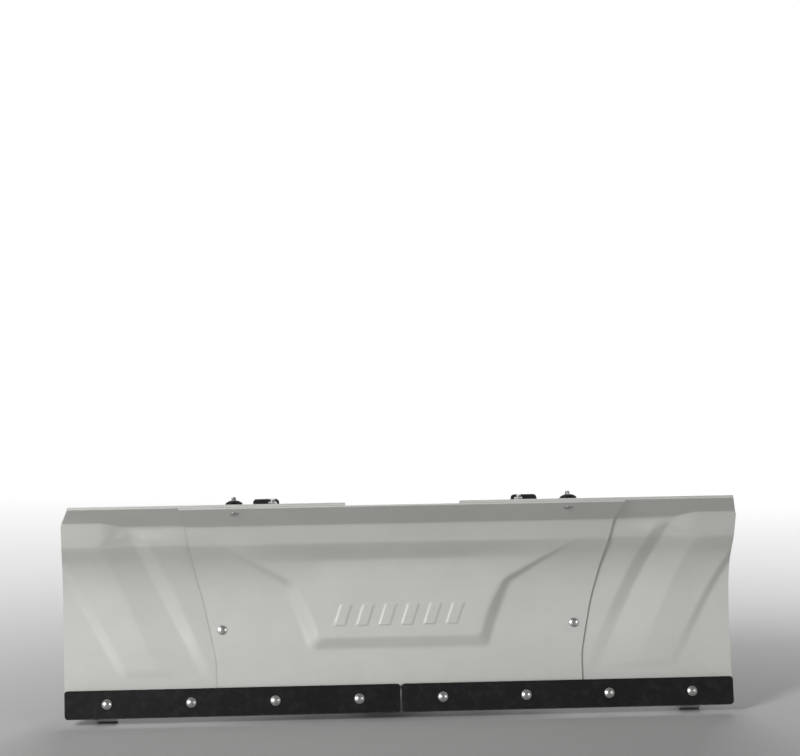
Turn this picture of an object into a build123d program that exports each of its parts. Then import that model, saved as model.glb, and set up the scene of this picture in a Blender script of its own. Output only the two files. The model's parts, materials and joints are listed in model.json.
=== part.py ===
"""Extending snow plow blade for an ATV: a centre panel on a welded back frame, two sliding wings
with wear bars and skid shoes, four clamp knobs, and a spring-loaded trip head with a swivel.

Millimetres. +X is to the right seen from in front, +Y is to the rear, +Z is up and Z = 0 is the
ground under the skid shoes. Left and right are as seen from in front of the blade. The blade is
modelled with its side profile in (forward, up), and moved at the end so that the middle of the
whole part's length lies on Y = 0.
"""
import os
from math import asin, cos, degrees, radians, sin, tan

from build123d import *

# Driving dimensions
blade_width = 1219.0      # both wings pushed in
wing_travel = 152.0       # how far each wing slides out
centre_gap = 1.0          # between the two wear bars, half of it on each side
sheet = 3.0               # mouldboard steel
slide_gap = 0.4           # between a sliding sheet and what it slides on
running_gap = 0.3         # between parts of different bodies

# Mouldboard side profile, measured on the front of the wing sheets
waist_height = 223.0      # where the blade is upright
low_radius = 209.0
low_lean = -20.0          # degrees from upright, the foot reaches forward
high_radius = 130.0
high_lean = 37.0
band_bottom = 326.0       # height where the steep band under the lip starts
band_lean = 24.0
fold_height = 365.5
lip_lean = 52.7
lip_length = 71.5
lip_mitre = 13.0          # how far the lip's end is cut back at the rim
sheet_foot = 22.0         # height of the wings' lower edge

# Wear bars and their fasteners
bar_height = 51.5
bar_thickness = 8.0
bar_bottom = 16.0         # height of the cutting edge
spacer_thickness = sheet + 2 * slide_gap
spacer_height = 31.0
bar_bolt_pitch = 152.4
bar_bolt_radius = 5.0
bar_head_radius = 9.5
bar_head_height = 5.0

# Centre panel
panel_foot = 53.0
panel_half_width = 333.0
panel_straight_top = 108.0
panel_top_half_width = 389.0
pressing_height = 9.0     # the raised middle of the centre panel
wing_pressing_height = 8.0

# Clamp bolts, slots and knobs
face_bolt_x = 322.0
face_bolt_z = 160.0
face_bolt_lift = 0.25      # keeps the flat head clear of the hollow face
lip_bolt_x = 300.0
lip_bolt_along = 50.0     # from the fold, along the lip
clamp_radius = 4.0
clamp_head_radius = 8.5
clamp_head_height = 3.2
slot_width = 9.5
knob_radius = 16.0
knob_height = 10.0
knob_stud = 9.0           # bolt end beyond the knob

# Wing inner edge, which slants so that the wings clear the centre spine
inner_top_x = 103.0
inner_foot_x = centre_gap + 1.0

# Back frame
flange_in = 284.0
flange_out = 344.0
flange_thickness = 4.0
web_thickness = 6.0
web_rear = 44.0
lower_channel = (40.0, 40.0, 84.0)     # depth, height, height of its underside
upper_channel = (38.0, 40.0, 300.0)
upper_channel_rear = 32.0
tube_wall = 3.0
spine_thickness = 6.0

# Trip pivot, head and swivel
pivot_x = 150.0
pivot_y = 70.0
pivot_z = 100.0
pin_radius = 8.0
pin_clearance = 0.08
ear_thickness = 8.0
ear_gap = 32.0
barrel_radius = 16.0
arm_thickness = 8.0
head_front = 50.0
head_depth = 40.0
crossbar_bottom = 290.0
tie_bottom = 130.0
tie_height = 40.0
swivel_thickness = 8.0
king_pin_y = 125.0
king_pin_radius = 8.2
swivel_radius = 80.0
swivel_half_width = 70.0
angle_hole_radius = 6.5
angle_hole_reach = 60.0
angle_steps = (-30, -15, 0, 15, 30)
peg_y = 112.0
peg_z = 150.0
peg_radius = 7.0

# Trip springs and their eyebolts
spring_x = 226.0
eye_y = 45.0
eye_z = 350.0
shelf_top = 378.0
shelf_thickness = 6.0
shelf_inner = -13.0       # from the eyebolt
shelf_outer = 35.0
shelf_tab_top = 388.0
eyebolt_top = 390.0
eyebolt_radius = 4.0
eyebolt_nut_flats = 14.0
eyebolt_nut_height = 7.0
eye_ring = 10.0
spring_outer = 18.0
spring_wire = 2.6
spring_body = 132.0

# Skid shoes
shoe_x = 532.0
shoe_y = 26.0             # stem
shoe_width = 38.0
shoe_front = -50.0
shoe_rear = 92.0
shoe_thickness = 6.0
shoe_rise = 9.0           # how far the toe and heel turn up
shoe_turn_up = 18.0       # length of the turned-up toe and heel
stem_radius = 10.0
stem_top = 166.0
socket_outer = 17.0
socket_bottom = 72.0
socket_top = 130.0
shoe_drop = 20.0          # lowest shoe setting below this one

# Fitted dimensions
half_width = blade_width / 2
socket_bore = stem_radius + running_gap
far = 400.0


def meet(p, lean_p, q, lean_q):
    """Crossing point, in (forward, up), of two lines given by a point and a lean from upright."""
    ap, aq = radians(lean_p), radians(lean_q)
    dx, dz = q[0] - p[0], q[1] - p[1]
    along = (dx * cos(aq) - dz * sin(aq)) / (sin(ap) * cos(aq) - cos(ap) * sin(aq))
    return (p[0] + along * sin(ap), p[1] + along * cos(ap))


def step(p, lean, distance):
    """Point at a distance up a line that leans forward by lean degrees."""
    return (p[0] + distance * sin(radians(lean)), p[1] + distance * cos(radians(lean)))


def forward(p, lean, distance):
    """Point at a distance in front of a surface that leans forward by lean degrees."""
    return (p[0] + distance * cos(radians(lean)), p[1] - distance * sin(radians(lean)))


def arc_point(radius, lean, offset):
    """Point on the lower (lean < 0) or upper arc, offset to the front."""
    return (radius - (radius - offset) * cos(radians(lean)),
            waist_height + (radius - offset) * sin(radians(lean)))


def section(offset):
    """Corner points of the profile at an offset in front of the wing sheets."""
    low = arc_point(low_radius, low_lean, offset)
    high = arc_point(high_radius, high_lean, offset)
    front_high = arc_point(high_radius, high_lean, 0.0)
    rise = (band_bottom - front_high[1]) / cos(radians(high_lean))
    band = step(front_high, high_lean, rise)
    fold = step(band, band_lean, (fold_height - band_bottom) / cos(radians(band_lean)))
    lip = forward(fold, lip_lean, offset)
    band_here = forward(band, band_lean, offset)
    return {
        "low": low,
        "high": high,
        "band": meet(high, high_lean, band_here, band_lean),
        "fold": meet(band_here, band_lean, lip, lip_lean),
        "rim": step(lip, lip_lean, lip_length),
        "lip": lip,
    }


def low_end(offset, height):
    """Square-cut lower end of a layer whose front-of-wing edge is at the given height."""
    base = section(0.0)["low"]
    length = (base[1] - height) / cos(radians(low_lean))
    return step(section(offset)["low"], low_lean, -length)


def at(p, x=0.0):
    return Vector(x, -p[0], p[1])


def arc_edge(radius, lean, offset):
    waist = (offset, waist_height)
    middle = arc_point(radius, lean / 2, offset)
    return ThreePointArc(at(waist), at(middle), at(arc_point(radius, lean, offset)))


def curve(offset, foot, lip):
    """Edges of the profile from its foot to a distance along the lip, and the two end points."""
    p = section(offset)
    start = low_end(offset, foot)
    end = step(p["lip"], lip_lean, lip) if lip else p["fold"]
    edges = [
        Line(at(start), at(p["low"])),
        arc_edge(low_radius, low_lean, offset),
        arc_edge(high_radius, high_lean, offset),
        Line(at(p["high"]), at(p["band"])),
        Line(at(p["band"]), at(p["fold"])),
    ]
    if lip:
        edges.append(Line(at(p["fold"]), at(end)))
    return edges, start, end


def layer(back, front, x_low, x_high, foot=sheet_foot, lip=lip_length):
    """A bent sheet between two offsets from the wing's front, extruded along X."""
    back_edges, back_start, back_end = curve(back, foot, lip)
    front_edges, front_start, front_end = curve(front, foot, lip)
    ends = [Line(at(back_start), at(front_start)), Line(at(back_end), at(front_end))]
    face = Face(Wire(back_edges + front_edges + ends))
    return Pos(x_low, 0, 0) * extrude(face, amount=x_high - x_low, dir=(1, 0, 0))


def behind(offset, x_low, x_high):
    """Everything behind the profile at an offset."""
    edges, start, end = curve(offset, sheet_foot - 20, lip_length)
    corners = [(-far, end[1]), (-far, start[1])]
    edges = edges + [
        Line(at(end), at(corners[0])),
        Line(at(corners[0]), at(corners[1])),
        Line(at(corners[1]), at(start)),
    ]
    return Pos(x_low, 0, 0) * extrude(Face(Wire(edges)), amount=x_high - x_low, dir=(1, 0, 0))


def web(x_low, x_high, z_low, z_high, y_rear, offset):
    """A plate whose front edge follows the profile and whose rear edge is straight."""
    block = box(x_low, x_high, -far, y_rear, z_low, z_high)
    return block & behind(offset, x_low - 1, x_high + 1)


def box(x_low, x_high, y_low, y_high, z_low, z_high):
    size = (x_high - x_low, y_high - y_low, z_high - z_low)
    middle = ((x_low + x_high) / 2, (y_low + y_high) / 2, (z_low + z_high) / 2)
    return Pos(*middle) * Box(*size)


def prism(points):
    """An outline in (X, Z) run right through the blade along Y."""
    corners = [Vector(x, far, z) for x, z in points]
    face = Face(Wire.make_polygon(corners, close=True))
    return extrude(face, amount=2 * far, dir=(0, -1, 0))


def tube_along_x(x_low, x_high, y_low, z_low, depth, height):
    outer = box(x_low, x_high, y_low, y_low + depth, z_low, z_low + height)
    inner = box(x_low - 1, x_high + 1, y_low + tube_wall, y_low + depth - tube_wall,
                z_low + tube_wall, z_low + height - tube_wall)
    return outer - inner


def rod(p, q, radius, bore=0.0):
    """Round bar or tube between two points."""
    start, end = Vector(*p), Vector(*q)
    plane = Plane(origin=start, z_dir=end - start)
    length = (end - start).length
    solid = extrude(plane * Circle(radius), amount=length)
    if bore:
        solid -= extrude(plane * Circle(bore), amount=length)
    return solid


def mirrored(shape):
    return mirror(shape, about=Plane.YZ)


def surface_frame(x, p, lean):
    """Plane on the surface with its Z to the front and its X along the blade."""
    normal = Vector(0, -cos(radians(lean)), -sin(radians(lean)))
    return Plane(origin=at(p, x), x_dir=(1, 0, 0), z_dir=normal)


def carriage_bolt(frame, head_radius, head_height, radius, length):
    """Domed head on the frame's plane, shank of the given length behind it."""
    edge = head_height * 0.3
    dome = ((head_height - edge) ** 2 + head_radius**2) / (2 * (head_height - edge))
    half = asin(head_radius / dome) / 2
    shoulder = (dome * sin(half), 0, head_height - dome + dome * cos(half))
    profile = Wire([
        Line((0, 0, -length), (radius, 0, -length)),
        Line((radius, 0, -length), (radius, 0, 0)),
        Line((radius, 0, 0), (head_radius, 0, 0)),
        Line((head_radius, 0, 0), (head_radius, 0, edge)),
        ThreePointArc((head_radius, 0, edge), shoulder, (0, 0, head_height)),
        Line((0, 0, head_height), (0, 0, -length)),
    ])
    return frame * revolve(Face(profile), axis=Axis.Z)


def hex_nut(across, height, bore):
    body = extrude(RegularPolygon(across / 2, 6, major_radius=False), amount=height)
    return body - Pos(0, 0, height / 2) * Cylinder(bore, height * 2)


def lower_frame(x, offset, bar_along):
    """Frame on the lower straight, a distance above the cutting edge along the bar's face."""
    front = section(spacer_thickness + bar_thickness)["low"]
    drop = (front[1] - bar_bottom) / cos(radians(low_lean))
    edge = step(front, low_lean, -drop)
    p = forward(step(edge, low_lean, bar_along), low_lean,
                offset - spacer_thickness - bar_thickness)
    return surface_frame(x, p, low_lean)


def lip_frame(x, offset):
    p = step(section(offset)["lip"], lip_lean, lip_bolt_along)
    return surface_frame(x, p, lip_lean)


def face_frame(x, offset):
    lean = -degrees(asin((waist_height - face_bolt_z) / low_radius))
    return surface_frame(x, arc_point(low_radius, lean, offset), lean)


panel_back = slide_gap
panel_front = slide_gap + sheet
rib_front = -(sheet + slide_gap)
rib_back = rib_front - flange_thickness
parts = {}


def centre_panel():
    """Front sheet over the wings' inner halves, with a raised middle."""
    top = section(panel_front)["rim"][1] + 10
    right = [
        (panel_half_width, 0),
        (panel_half_width, panel_straight_top),
        (353.0, 205.0),
        (365.0, 252.0),
        (376.0, 300.0),
        (383.0, 338.0),
        (panel_top_half_width, fold_height + 6),
        (panel_top_half_width, top),
    ]
    outline = right + [(-x, z) for x, z in reversed(right)]
    raised = [(-292, 302), (-196, 234), (-153, 133), (153, 133), (196, 234), (292, 302)]
    hollow = [(-282, 299), (-193, 231), (-150, 136), (150, 136), (193, 231), (282, 299)]
    x = half_width
    body = layer(panel_back, panel_front, -x, x, foot=panel_foot) & prism(outline)
    pad = layer(panel_front - 1, panel_front + pressing_height, -x, x, lip=0) & prism(raised)
    room = layer(panel_back - 1, panel_back + pressing_height, -x, x, lip=0) & prism(hollow)
    body = body + pad - room
    for side in (-1, 1):
        for frame in (face_frame(side * face_bolt_x, 0), lip_frame(side * lip_bolt_x, 0)):
            body -= frame * Cylinder(clamp_radius + 0.3, 60)
    return body


def wing_panel():
    """Right wing sheet with its two slots and its pressed outer band."""
    rim = section(0)["rim"][1]
    outline = [
        (inner_foot_x, 0),
        (half_width, 0),
        (half_width, fold_height + 4),
        (half_width - lip_mitre, rim + 4),
        (inner_top_x, rim + 4),
        (inner_foot_x, sheet_foot),
    ]
    raised = [(half_width + 9, 276), (505, 96), (472, 104), (545, 335), (545, 356), (half_width + 9, 356)]
    hollow = [(half_width + 9, 280), (506, 101), (476, 107), (548, 332), (548, 353), (half_width + 9, 353)]
    body = layer(-sheet, 0, 0, half_width) & prism(outline)
    pad = layer(-1, wing_pressing_height, 400, half_width, lip=0) & prism(raised)
    room = layer(-sheet - 1, wing_pressing_height - sheet, 400, half_width + 1, lip=0) & prism(hollow)
    body = body + pad - room
    for frame, x in ((face_frame, face_bolt_x), (lip_frame, lip_bolt_x)):
        middle = x - wing_travel / 2
        length = wing_travel + slot_width + 2
        slot = extrude(SlotOverall(length, slot_width), amount=20, both=True)
        body -= frame(middle, 0) * slot
    for i in range(4):
        x = bar_bolt_pitch * (i + 0.5)
        body -= lower_frame(x, 0, bar_height / 2) * Cylinder(bar_bolt_radius + 0.3, 40)
    return body


def on_bar(thickness, height, offset_front, start):
    """A bar along the wing's foot, with its four bolt holes."""
    length = half_width - centre_gap
    frame = lower_frame(centre_gap + length / 2, offset_front, start + height / 2)
    corner = 6.0
    bar = extrude(RectangleRounded(length, height, corner), amount=-thickness)
    bar = frame * bar
    for i in range(4):
        x = bar_bolt_pitch * (i + 0.5)
        bar -= lower_frame(x, 0, bar_height / 2) * Cylinder(bar_bolt_radius + 0.3, 60)
    return bar


def wear_bar_hardware():
    bolts, nuts = [], []
    stack = bar_thickness + spacer_thickness + sheet
    for i in range(4):
        x = bar_bolt_pitch * (i + 0.5)
        front = lower_frame(x, spacer_thickness + bar_thickness, bar_height / 2)
        bolts.append(carriage_bolt(front, bar_head_radius, bar_head_height, bar_bolt_radius, stack + 12))
        nut = hex_nut(17.0, 9.0, bar_bolt_radius + 0.05)
        nuts.append(front * (Pos(0, 0, -stack - 9.0) * nut))
    return Compound(children=bolts), Compound(children=nuts)


def shoe_socket():
    """Tube for the skid shoe's stem on a gusset welded to the wing."""
    tube = rod((shoe_x, shoe_y, socket_bottom), (shoe_x, shoe_y, socket_top), socket_outer)
    body = tube
    for side in (-1, 1):
        low, high = sorted((shoe_x + side * 11, shoe_x + side * 17))
        body += web(low, high, socket_bottom + 4, socket_top + 26, shoe_y, -sheet)
    boss = rod((shoe_x, shoe_y + 10, 101), (shoe_x, shoe_y + socket_outer + 6, 101), 9.0)
    body += boss
    body -= rod((shoe_x, shoe_y, 0), (shoe_x, shoe_y, far), socket_bore)
    body -= rod((shoe_x, shoe_y, 101), (shoe_x, shoe_y + 60, 101), 5.1)
    return body


def shoe_set_bolt():
    tip = shoe_y + stem_radius + running_gap + 0.2
    head = shoe_y + socket_outer + 9
    bolt = rod((shoe_x, tip, 101), (shoe_x, head, 101), 5.0)
    hexagon = extrude(RegularPolygon(8.5, 6, major_radius=False), amount=7)
    return bolt + Plane(origin=(shoe_x, head, 101), z_dir=(0, 1, 0)) * hexagon


def shoe_foot():
    """Ski-shaped foot with turned-up ends, and a collar for the stem."""
    front, rear = shoe_front, shoe_rear
    t, up, run = shoe_thickness, shoe_rise, shoe_turn_up
    lower = [
        ThreePointArc((0, front, up), (0, front + run * 0.36, up * 0.3), (0, front + run, 0)),
        Line((0, front + run, 0), (0, rear - run, 0)),
        ThreePointArc((0, rear - run, 0), (0, rear - run * 0.36, up * 0.3), (0, rear, up)),
    ]
    upper = [
        ThreePointArc((0, front, up + t * 0.7), (0, front + run * 0.5, up * 0.3 + t), (0, front + run + 2, t)),
        Line((0, front + run + 2, t), (0, rear - run - 2, t)),
        ThreePointArc((0, rear - run - 2, t), (0, rear - run * 0.5, up * 0.3 + t), (0, rear, up + t * 0.7)),
    ]
    ends = [
        Line((0, front, up), (0, front, up + t * 0.7)),
        Line((0, rear, up), (0, rear, up + t * 0.7)),
    ]
    ski = extrude(Face(Wire(lower + upper + ends)), amount=shoe_width, dir=(1, 0, 0))
    ski = Pos(shoe_x - shoe_width / 2, 0, 0) * ski
    collar = rod((shoe_x, shoe_y, t), (shoe_x, shoe_y, t + 14), 16.0, stem_radius + 0.05)
    return ski + collar


def knob():
    """Domed clamp knob with finger flutes, on Z = 0 with its hub up."""
    grip_low, grip_high, shoulder = knob_height * 0.25, knob_height * 0.62, knob_height * 0.88
    profile = Wire([
        Line((0, 0, 0), (knob_radius * 0.6, 0, 0)),
        Line((knob_radius * 0.6, 0, 0), (knob_radius, 0, grip_low)),
        Line((knob_radius, 0, grip_low), (knob_radius, 0, grip_high)),
        ThreePointArc((knob_radius, 0, grip_high), (knob_radius * 0.78, 0, shoulder), (0, 0, knob_height)),
        Line((0, 0, knob_height), (0, 0, 0)),
    ])
    body = revolve(Face(profile), axis=Axis.Z)
    for i in range(6):
        flute = Rot(0, 0, 60 * i) * (Pos(knob_radius + 2.2, 0, 0) * Cylinder(4.5, 2 * knob_height + 4))
        body -= flute
    return body - Cylinder(clamp_radius + 0.2, 80)


def on_back(frame_of, x, offset):
    """Frame at the back of the rib flange, Z pointing rearward out of the blade."""
    front = frame_of(x, offset)
    return Plane(origin=front.origin, x_dir=(1, 0, 0), z_dir=-front.z_dir)


def clamp_bolt(frame_of, x, lift=0.0):
    front = frame_of(x, panel_front + lift)
    length = (panel_front - rib_back) + 3 + knob_height + knob_stud
    return carriage_bolt(front, clamp_head_radius, clamp_head_height, clamp_radius, length)


def frame_rib():
    """Formed flange behind the wing sheet, over the fold, with a web to the channels."""
    flange = layer(rib_back, rib_front, flange_in, flange_out, foot=72, lip=64)
    plate = web(flange_in, flange_in + web_thickness, 84, 352, web_rear, rib_back)
    body = flange + plate
    for frame in (face_frame(face_bolt_x, 0), lip_frame(lip_bolt_x, 0)):
        body -= frame * Cylinder(clamp_radius + 0.3, 80)
    return body


def trip_lugs():
    """Pair of ears on the lower channel."""
    ears = []
    for side in (-1, 1):
        inner = pivot_x + side * ear_gap / 2
        low, high = sorted((inner, inner + side * ear_thickness))
        ear = box(low, high, web_rear, pivot_y, lower_channel[2], lower_channel[2] + 40)
        ear += rod((low, pivot_y, pivot_z), (high, pivot_y, pivot_z), barrel_radius)
        ear -= rod((low - 1, pivot_y, pivot_z), (high + 1, pivot_y, pivot_z), pin_radius + pin_clearance)
        ears.append(ear)
    return Compound(children=ears)


def trip_pin():
    reach = ear_gap / 2 + ear_thickness
    pin = rod((pivot_x - reach - 10, pivot_y, pivot_z), (pivot_x + reach + 4, pivot_y, pivot_z), pin_radius)
    head = rod((pivot_x + reach + 0.2, pivot_y, pivot_z), (pivot_x + reach + 5, pivot_y, pivot_z), 12.0)
    pin += head
    x = pivot_x - reach - 5
    return pin - rod((x, pivot_y, pivot_z - 20), (x, pivot_y, pivot_z + 20), 2.2)


def hairpin(x, y, z, reach, size):
    """Spring clip: a straight leg through a pin, a round bow and a bent outer leg."""
    leg = rod((x, y, z - reach), (x, y, z + reach + 6), size)
    bow = Pos(x, y - 6, z + reach + 6) * (Rot(0, 90, 0) * Torus(6, size))
    bow &= box(x - 5, x + 5, y - 20, y + 20, z + reach + 6, z + reach + 30)
    outer = rod((x, y - 12, z - reach * 0.5), (x, y - 12, z + reach + 6), size)
    return leg + bow + outer


def head_arm():
    """Upright of the trip head: pivot barrel, plate and a lobe for the spring peg."""
    x_low, x_high = pivot_x - arm_thickness / 2, pivot_x + arm_thickness / 2
    rear = head_front + head_depth
    plate = box(x_low, x_high, head_front, rear, pivot_z, crossbar_bottom + 40)
    lobe = extrude(
        Face(Wire.make_polygon([
            Vector(x_low, rear - 5, tie_bottom - 20),
            Vector(x_low, peg_y + 6, peg_z - 13),
            Vector(x_low, peg_y + 6, peg_z + 13),
            Vector(x_low, rear - 5, peg_z + 55),
        ], close=True)), amount=arm_thickness, dir=(1, 0, 0))
    boss = rod((x_low, peg_y, peg_z), (x_high, peg_y, peg_z), 14.0)
    half = ear_gap / 2 - running_gap
    barrel = rod((pivot_x - half, pivot_y, pivot_z), (pivot_x + half, pivot_y, pivot_z), barrel_radius)
    body = plate + lobe + boss + barrel
    body -= rod((pivot_x - 40, pivot_y, pivot_z), (pivot_x + 40, pivot_y, pivot_z), pin_radius + pin_clearance)
    return body


def swivel_plate(z_low, with_angle_holes):
    """Plate with the king pin's hole; the upper one also has the angle lock holes."""
    z_high = z_low + swivel_thickness
    body = box(-swivel_half_width, swivel_half_width, head_front, king_pin_y, z_low, z_high)
    disc = rod((0, king_pin_y, z_low), (0, king_pin_y, z_high), swivel_radius)
    body += disc & box(-far, far, head_front, far, z_low, z_high)
    body -= rod((0, king_pin_y, 0), (0, king_pin_y, far), king_pin_radius)
    if with_angle_holes:
        for angle in angle_steps:
            x = angle_hole_reach * sin(radians(angle))
            y = king_pin_y + angle_hole_reach * cos(radians(angle))
            body -= rod((x, y, 0), (x, y, far), angle_hole_radius)
    return body


def spring_bracket():
    """Bent plate on the upper channel, with a shelf for the eyebolt and a round-cornered tab."""
    x_low, x_high = spring_x + shelf_inner, spring_x + shelf_outer
    channel_top = upper_channel[2] + upper_channel[1]
    front = upper_channel_rear - upper_channel[0]
    body = box(x_low, x_high, front, 26, channel_top, channel_top + 5)
    body += box(x_low, x_high, 20, 26, channel_top, shelf_top)
    shelf_rear = eye_y + 18
    body += box(x_low, x_high, 20, shelf_rear, shelf_top - shelf_thickness, shelf_top)
    tab = box(x_low, x_high, shelf_rear - 5, shelf_rear, shelf_top - shelf_thickness, shelf_tab_top)
    corners = tab.edges().filter_by(Axis.Y).group_by(Axis.Z)[-1]
    body += fillet(corners, 7)
    return body - rod((spring_x, eye_y, 0), (spring_x, eye_y, far * 2), eyebolt_radius + 0.3)


def eyebolt():
    ring_top = eye_z + eye_ring
    shank = rod((spring_x, eye_y, ring_top), (spring_x, eye_y, eyebolt_top), eyebolt_radius)
    ring = Pos(spring_x, eye_y, eye_z) * (Rot(0, 90, 0) * Torus(eye_ring, 3.6))
    return shank + ring


def eyebolt_nuts():
    nut = hex_nut(eyebolt_nut_flats, eyebolt_nut_height, eyebolt_radius + 0.05)
    low = shelf_top - shelf_thickness - eyebolt_nut_height
    return [Pos(spring_x, eye_y, z) * nut for z in (low, shelf_top)]


def trip_spring():
    """Extension spring's outer tube with a round end hook at each end."""
    top, foot = Vector(spring_x, eye_y, eye_z), Vector(spring_x, peg_y, peg_z)
    along = (foot - top).normalized()
    middle = (top + foot) * 0.5
    start, end = middle - along * (spring_body / 2), middle + along * (spring_body / 2)
    coil = rod(start, end, spring_outer, spring_outer - 2 * spring_wire)
    hooks = []
    for inner, outer in ((start, top), (end, foot)):
        direction = (outer - inner).normalized()
        plate = rod(inner - direction * 2 * spring_wire, inner, spring_outer - 2 * spring_wire + 0.5)
        reach = outer - direction * (eye_ring + 3.6 + 0.4)
        hooks.append(plate + rod(inner - direction * spring_wire, reach, spring_wire))
    return coil + hooks[0] + hooks[1]


def add(name, shape):
    parts[name] = shape


def add_pair(name, shape):
    """A part and its mirror image; name holds a place for the side."""
    add(name.format("right"), shape)
    add(name.format("left"), mirrored(shape))


def both_sides(solids):
    return Compound(children=list(solids) + [mirrored(s) for s in solids])


# Blade: centre panel and back frame
add("centre_panel", centre_panel())
add_pair("{}_frame_rib", frame_rib())
depth, height, low = lower_channel
add("lower_channel", tube_along_x(-flange_in, flange_in, web_rear - depth, low, depth, height))
depth, height, low = upper_channel
add("upper_channel", tube_along_x(-flange_in, flange_in, upper_channel_rear - depth, low, depth, height))
spine = web(-spine_thickness / 2, spine_thickness / 2, 112, fold_height, 4, panel_back)
spine -= box(-50, 50, upper_channel_rear - upper_channel[0], far, upper_channel[2], upper_channel[2] + upper_channel[1])
spine -= box(-50, 50, web_rear - lower_channel[0], far, lower_channel[2], lower_channel[2] + lower_channel[1])
add("centre_spine", spine)
add_pair("{}_trip_lugs", trip_lugs())
add_pair("{}_spring_bracket", spring_bracket())
add_pair("{}_eyebolt", eyebolt())
add("eyebolt_nuts", both_sides(eyebolt_nuts()))
add("face_bolts", both_sides([clamp_bolt(face_frame, face_bolt_x, face_bolt_lift)]))
add("lip_bolts", both_sides([clamp_bolt(lip_frame, lip_bolt_x)]))
washer = extrude(Circle(12), amount=2) - Cylinder(clamp_radius + 0.2, 20)
washers = [on_back(face_frame, face_bolt_x, rib_back) * washer, on_back(lip_frame, lip_bolt_x, rib_back) * washer]
add("clamp_washers", both_sides(washers))
add("trip_pins", both_sides([trip_pin()]))
clip_x = pivot_x - ear_gap / 2 - ear_thickness - 5
add("trip_pin_clips", both_sides([hairpin(clip_x, pivot_y, pivot_z, pin_radius + 3, 1.8)]))
bumper_length = head_front - upper_channel_rear - running_gap
bumper = rod((90, upper_channel_rear, 318), (90, upper_channel_rear + bumper_length, 318), 17.0)
add("trip_bumpers", both_sides([bumper]))

# Wings
add_pair("{}_wing_panel", wing_panel())
bar_front = spacer_thickness + bar_thickness
add_pair("{}_wear_bar", on_bar(bar_thickness, bar_height, bar_front, 0))
add_pair("{}_spacer_strip", on_bar(spacer_thickness, spacer_height, spacer_thickness, 5))
bolts, nuts = wear_bar_hardware()
add_pair("{}_wear_bar_bolts", bolts)
add_pair("{}_wear_bar_nuts", nuts)
add_pair("{}_end_rib", web(half_width - 6, half_width, 44, 356, 22, -sheet))
shelves = [
    web(flange_out + 14, half_width - 6, 262, 268, 26, -sheet),
    web(flange_out + 14, shoe_x - 17, 128, 134, 20, -sheet),
]
add_pair("{}_stiffeners", Compound(children=shelves))
add_pair("{}_shoe_socket", shoe_socket())
add_pair("{}_shoe_set_bolt", shoe_set_bolt())

# Skid shoes
add_pair("{}_shoe_foot", shoe_foot())
stem = rod((shoe_x, shoe_y, shoe_thickness), (shoe_x, shoe_y, stem_top), stem_radius)
keeper_z = socket_top + shoe_drop + 4
stem -= rod((shoe_x, shoe_y - 20, keeper_z), (shoe_x, shoe_y + 20, keeper_z), 2.6)
add_pair("{}_shoe_stem", stem)
keeper = rod((shoe_x, shoe_y - 16, keeper_z), (shoe_x, shoe_y + 16, keeper_z), 2.5)
add_pair("{}_shoe_keeper", keeper)

# Clamp knobs
for place, frame_of, x in (("face", face_frame, face_bolt_x), ("lip", lip_frame, lip_bolt_x)):
    seat = on_back(frame_of, x, rib_back - 2 - running_gap)
    add_pair("{}_" + place + "_knob", seat * knob())

# Trip head
add_pair("{}_head_arm", head_arm())
inside = pivot_x - arm_thickness / 2
add("head_crossbar", tube_along_x(-inside, inside, head_front, crossbar_bottom, head_depth, 40))
add("head_tie", tube_along_x(-inside, inside, head_front, tie_bottom, head_depth, tie_height))
add("upper_swivel_plate", swivel_plate(tie_bottom + tie_height, True))
add("lower_swivel_plate", swivel_plate(tie_bottom - swivel_thickness, False))
peg_start = pivot_x + arm_thickness / 2
peg = rod((peg_start, peg_y, peg_z), (spring_x + 22, peg_y, peg_z), peg_radius)
for offset in (-9, 9):
    peg += rod((spring_x + offset - 1.5, peg_y, peg_z), (spring_x + offset + 1.5, peg_y, peg_z), 11.0)
add_pair("{}_spring_peg", peg)
add_pair("{}_trip_spring", trip_spring())

# The middle of the part's length goes on Y = 0
front_reach = max(section(panel_front)["rim"][0], section(panel_back)["rim"][0])
rear_reach = king_pin_y + swivel_radius
shift = (front_reach - rear_reach) / 2

os.makedirs("parts", exist_ok=True)
for name, shape in parts.items():
    export_step(Pos(0, shift, 0) * shape, f"parts/{name}.step")
print(len(parts), "nodes, moved", round(shift, 3), "mm along Y")
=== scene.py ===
import json
import math

import bpy
from mathutils import Matrix, Vector


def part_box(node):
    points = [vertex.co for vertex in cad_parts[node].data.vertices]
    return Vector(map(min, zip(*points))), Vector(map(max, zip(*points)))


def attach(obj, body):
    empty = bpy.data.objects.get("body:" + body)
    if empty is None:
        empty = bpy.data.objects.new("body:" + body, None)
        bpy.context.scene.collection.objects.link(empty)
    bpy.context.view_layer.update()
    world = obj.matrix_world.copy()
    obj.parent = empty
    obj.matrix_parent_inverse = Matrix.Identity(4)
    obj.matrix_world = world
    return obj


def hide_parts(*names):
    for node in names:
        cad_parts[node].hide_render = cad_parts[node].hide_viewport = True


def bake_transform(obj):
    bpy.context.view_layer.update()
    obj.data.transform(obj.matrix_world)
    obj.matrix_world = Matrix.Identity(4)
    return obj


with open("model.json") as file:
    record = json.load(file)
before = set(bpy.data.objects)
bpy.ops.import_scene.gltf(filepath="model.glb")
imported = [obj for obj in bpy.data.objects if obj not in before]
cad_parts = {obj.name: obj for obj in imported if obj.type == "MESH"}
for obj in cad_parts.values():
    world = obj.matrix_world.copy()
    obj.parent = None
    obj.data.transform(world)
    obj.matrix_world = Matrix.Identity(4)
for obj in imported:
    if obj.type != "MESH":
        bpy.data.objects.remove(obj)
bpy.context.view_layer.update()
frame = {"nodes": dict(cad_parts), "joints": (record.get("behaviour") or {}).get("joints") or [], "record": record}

mm = 0.001
nodes = frame["nodes"]
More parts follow.
